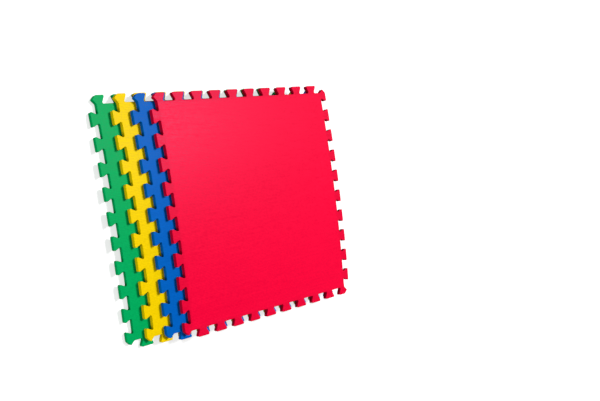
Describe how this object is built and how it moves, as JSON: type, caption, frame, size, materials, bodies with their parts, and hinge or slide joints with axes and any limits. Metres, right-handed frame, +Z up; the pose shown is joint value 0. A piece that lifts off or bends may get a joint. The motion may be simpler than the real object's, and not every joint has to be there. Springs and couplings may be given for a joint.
{
  "type": "interlocking foam floor tile set",
  "caption": "Square foam floor tiles with dovetail teeth on every side, stacked flat in a sideways fan.",
  "frame": {"origin": "on the floor, under the middle of the whole fan", "axes": "+Z up through the stack, +X the way the upper tiles are shifted, +Y along the tiles' other side"},
  "size_m": [0.7828, 0.6396, 0.062],
  "materials": {
    "green_foam": "satin closed-cell foam skin with fine ribs",
    "yellow_foam": "satin closed-cell foam skin with fine ribs",
    "blue_foam": "satin closed-cell foam skin with fine ribs",
    "red_foam": "satin closed-cell foam skin with fine ribs"
  },
  "bodies": {
    "green_tile": {"green_tile": "green_foam"},
    "yellow_tile": {"yellow_tile": "yellow_foam"},
    "blue_tile": {"blue_tile": "blue_foam"},
    "red_tile": {"red_tile": "red_foam"}
  },
  "joints": [
    {"name": "yellow_lift", "type": "slide", "parent": "green_tile", "child": "yellow_tile", "axis": [0, 0, 1], "range_m": [0, 0.12]},
    {"name": "blue_lift", "type": "slide", "parent": "yellow_tile", "child": "blue_tile", "axis": [0, 0, 1], "range_m": [0, 0.12]},
    {"name": "red_lift", "type": "slide", "parent": "blue_tile", "child": "red_tile", "axis": [0, 0, 1], "range_m": [0, 0.12]}
  ]
}
